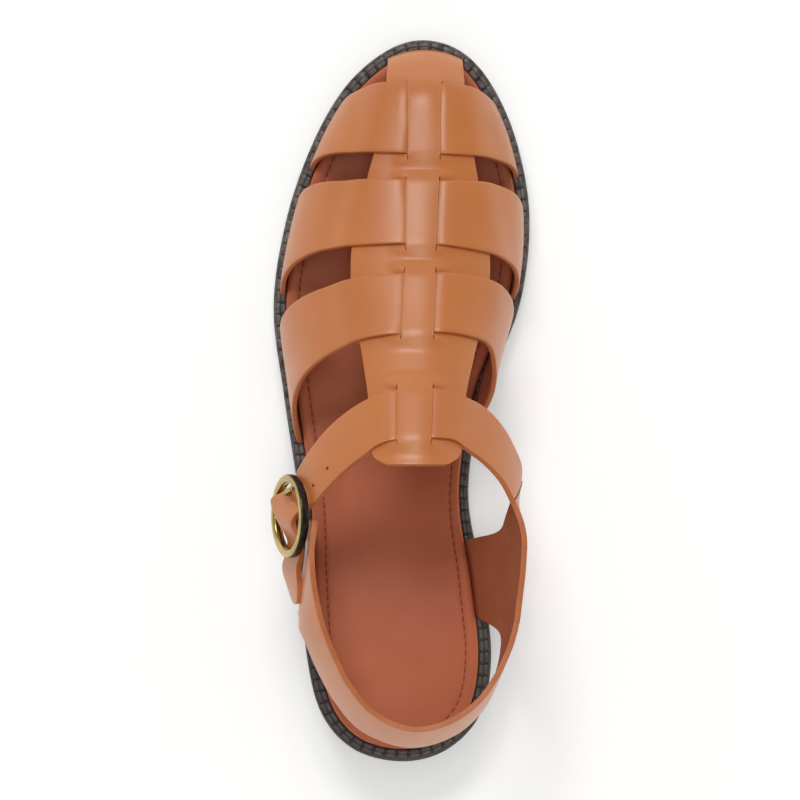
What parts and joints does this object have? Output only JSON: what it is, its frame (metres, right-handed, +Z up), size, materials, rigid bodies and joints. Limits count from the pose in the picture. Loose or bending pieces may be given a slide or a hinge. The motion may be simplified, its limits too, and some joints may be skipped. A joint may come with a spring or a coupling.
{
  "type": "fisherman sandal",
  "caption": "Closed-toe woven strap sandal for the left foot, with a welted lugged sole, a low heel and a side buckle on the instep strap.",
  "frame": {"origin": "on the floor, under the middle of the shoe's bounding box", "axes": "+Y from heel to toe, +X from the lateral to the medial side, +Z up"},
  "size_m": [0.096, 0.2656, 0.092],
  "materials": {
    "outsole": "matt dark brown moulded rubber",
    "midsole": "matt dark brown",
    "welt": "satin dark brown with moulded stitches",
    "insole": "smooth red-brown lining leather",
    "strap_leather": "smooth tan calf with a soft gloss",
    "buckle_metal": "antique, worn bright on its faces"
  },
  "bodies": {
    "root": {"outsole": "outsole", "heel_block": "outsole", "midsole": "midsole", "welt": "welt", "insole": "insole", "upper": "strap_leather", "buckle_loop": "strap_leather", "buckle_ring": "buckle_metal", "buckle_prong": "buckle_metal"}
  },
  "joints": []
}
